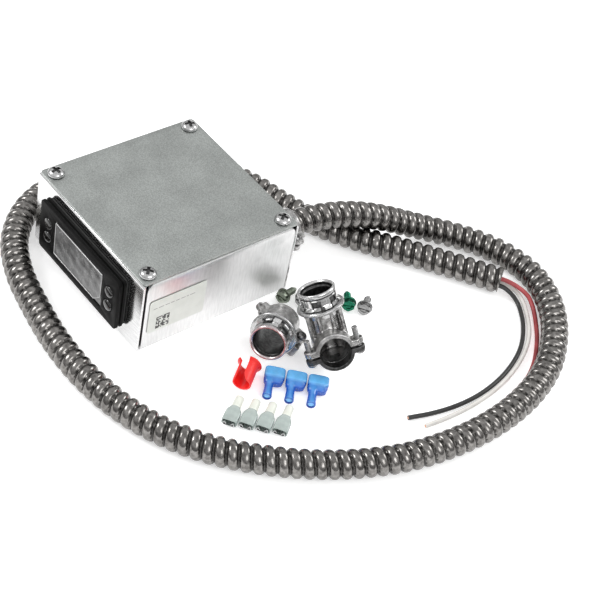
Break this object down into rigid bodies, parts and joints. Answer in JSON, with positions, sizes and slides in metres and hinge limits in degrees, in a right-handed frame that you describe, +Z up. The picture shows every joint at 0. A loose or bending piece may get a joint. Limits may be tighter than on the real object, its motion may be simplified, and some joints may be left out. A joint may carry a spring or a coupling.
{
  "type": "digital panel controller in a steel junction box",
  "caption": "Square galvanised steel box with a panel-mounted digital controller, a flexible metal conduit whip with free wire ends, and loose conduit fittings, terminals and screws.",
  "frame": {"origin": "centre of the box's base, on the surface it stands on", "axes": "+Z up through the cover, -Y out of the controller's face, +X out of the side wall that carries the label"},
  "size_m": [0.2795, 0.2787, 0.0515],
  "materials": {
    "galvanised": "satin spangled zinc coat",
    "zinc": "bright zinc plate",
    "cast_zinc": "rough die-cast zinc",
    "conduit_steel": "galvanised strip, helical ridges",
    "black_plastic": "fine matte moulding",
    "glossy_black": "glossy moulding",
    "rubber": "matte gasket",
    "window": "translucent grey window",
    "label_film": "printed film",
    "board_green": "solder mask",
    "relay_blue": "moulded case",
    "lamination": "varnished laminations",
    "wire_black": "PVC insulation",
    "wire_white": "PVC insulation",
    "wire_red": "PVC insulation",
    "bushing_red": "moulded nylon",
    "nylon_blue": "translucent nylon",
    "nylon_clear": "translucent nylon",
    "screw_green": "green dyed zinc plate"
  },
  "bodies": {
    "root": {"enclosure_body": "galvanised", "box_connector_locknut": "zinc", "box_connector_screw_left": "zinc", "box_connector_screw_right": "zinc", "straight_connector_snap_ring": "zinc", "straight_connector_screw": "zinc", "angle_connector_snap_ring": "zinc", "angle_connector_screw_left": "zinc", "angle_connector_screw_right": "zinc", "hex_screw_2": "zinc", "hex_screw_4": "zinc", "box_connector_body": "cast_zinc", "box_connector_strap": "cast_zinc", "straight_connector_body": "cast_zinc", "straight_connector_strap": "cast_zinc", "angle_connector_body": "cast_zinc", "angle_connector_strap": "cast_zinc", "conduit": "conduit_steel", "fascia_frame": "black_plastic", "fascia_rim": "black_plastic", "controller_case": "black_plastic", "case_rear_cover": "black_plastic", "panel_clip_left": "black_plastic", "panel_clip_right": "black_plastic", "display_module": "glossy_black", "panel_gasket": "rubber", "display_lens": "window", "label_plate": "label_film", "control_board": "board_green", "terminal_block": "board_green", "relay": "relay_blue", "transformer": "lamination", "supply_wire_black": "wire_black", "tail_wire_black": "wire_black", "supply_wire_white": "wire_white", "tail_wire_white": "wire_white", "supply_wire_red": "wire_red", "tail_wire_red": "wire_red", "conduit_bushing": "bushing_red", "flag_terminal_1": "nylon_blue", "flag_terminal_2": "nylon_blue", "flag_terminal_3": "nylon_blue", "nylon_terminal_1": "nylon_clear", "nylon_terminal_2": "nylon_clear", "nylon_terminal_3": "nylon_clear", "nylon_terminal_4": "nylon_clear", "hex_screw_1": "screw_green", "hex_screw_3": "screw_green"},
    "cover": {"cover_plate": "galvanised", "cover_screw_front_left": "zinc", "cover_screw_front_right": "zinc", "cover_screw_back_left": "zinc", "cover_screw_back_right": "zinc"},
    "key_upper_left": {"key_upper_left": "glossy_black"},
    "key_lower_left": {"key_lower_left": "glossy_black"},
    "key_upper_right": {"key_upper_right": "glossy_black"},
    "key_lower_right": {"key_lower_right": "glossy_black"}
  },
  "joints": [
    {"name": "cover_lift", "type": "slide", "parent": "root", "child": "cover", "axis": [0, 0, 1], "range_m": [0, 0.06]},
    {"name": "press_upper_left", "type": "slide", "parent": "root", "child": "key_upper_left", "axis": [0, 1, 0], "range_m": [0, 0.0006], "stiffness_N_per_m": 1500},
    {"name": "press_lower_left", "type": "slide", "parent": "root", "child": "key_lower_left", "axis": [0, 1, 0], "range_m": [0, 0.0006], "stiffness_N_per_m": 1500},
    {"name": "press_upper_right", "type": "slide", "parent": "root", "child": "key_upper_right", "axis": [0, 1, 0], "range_m": [0, 0.0006], "stiffness_N_per_m": 1500},
    {"name": "press_lower_right", "type": "slide", "parent": "root", "child": "key_lower_right", "axis": [0, 1, 0], "range_m": [0, 0.0006], "stiffness_N_per_m": 1500}
  ]
}
